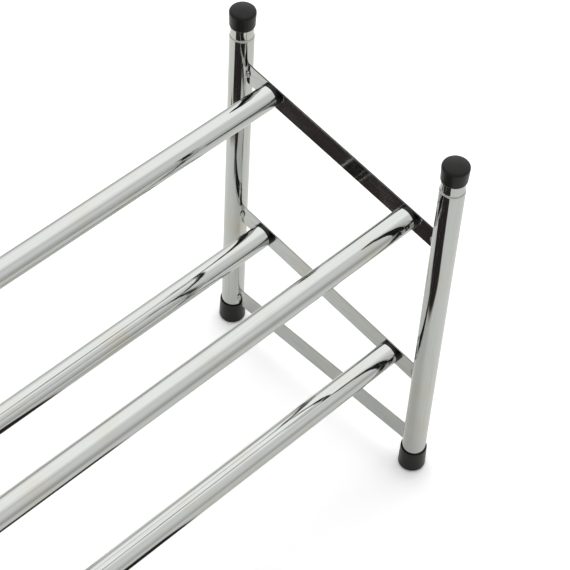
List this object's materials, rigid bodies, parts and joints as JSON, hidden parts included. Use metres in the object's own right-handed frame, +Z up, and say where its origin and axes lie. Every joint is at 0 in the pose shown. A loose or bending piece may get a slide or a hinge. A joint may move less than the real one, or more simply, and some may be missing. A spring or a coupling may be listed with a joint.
{
  "type": "extending shoe rack",
  "caption": "Two-tier chromed steel shoe rack with slanted shelves of round tube, which pulls out in length as thinner tubes slide in thicker ones.",
  "frame": {"origin": "on the floor under the middle of the closed rack", "axes": "+X along the length towards the fixed right half, +Y from the front to the rear, where the shelves are higher, +Z up"},
  "size_m": [0.6202, 0.2332, 0.349],
  "materials": {
    "chromed_steel": "bright chrome plate",
    "screw_steel": "bright zinc",
    "black_plastic": "satin",
    "insert_plastic": "satin"
  },
  "bodies": {
    "right_half": {"base_strip_right": "chromed_steel", "cap_front_right": "black_plastic", "cap_rear_right": "black_plastic", "foot_front_right": "black_plastic", "foot_rear_right": "black_plastic", "mouth_bush_lower_front": "insert_plastic", "mouth_bush_lower_rear": "insert_plastic", "mouth_bush_upper_front": "insert_plastic", "mouth_bush_upper_rear": "insert_plastic", "outer_plug_lower_front": "insert_plastic", "outer_plug_lower_rear": "insert_plastic", "outer_plug_upper_front": "insert_plastic", "outer_plug_upper_rear": "insert_plastic", "outer_tube_lower_front": "chromed_steel", "outer_tube_lower_rear": "chromed_steel", "outer_tube_upper_front": "chromed_steel", "outer_tube_upper_rear": "chromed_steel", "post_front_right": "chromed_steel", "post_rear_right": "chromed_steel", "tier_strip_lower_right": "chromed_steel", "tier_strip_upper_right": "chromed_steel", "tube_screws_right": "screw_steel", "welds_right": "chromed_steel"},
    "left_half": {"base_strip_left": "chromed_steel", "cap_front_left": "black_plastic", "cap_rear_left": "black_plastic", "foot_front_left": "black_plastic", "foot_rear_left": "black_plastic", "guide_plug_lower_front": "insert_plastic", "guide_plug_lower_rear": "insert_plastic", "guide_plug_upper_front": "insert_plastic", "guide_plug_upper_rear": "insert_plastic", "inner_plug_lower_front": "insert_plastic", "inner_plug_lower_rear": "insert_plastic", "inner_plug_upper_front": "insert_plastic", "inner_plug_upper_rear": "insert_plastic", "inner_tube_lower_front": "chromed_steel", "inner_tube_lower_rear": "chromed_steel", "inner_tube_upper_front": "chromed_steel", "inner_tube_upper_rear": "chromed_steel", "post_front_left": "chromed_steel", "post_rear_left": "chromed_steel", "tier_strip_lower_left": "chromed_steel", "tier_strip_upper_left": "chromed_steel", "tube_screws_left": "screw_steel", "welds_left": "chromed_steel"}
  },
  "joints": [
    {"name": "extension", "type": "slide", "parent": "right_half", "child": "left_half", "axis": [-1, 0, 0], "range_m": [0, 0.48]}
  ]
}
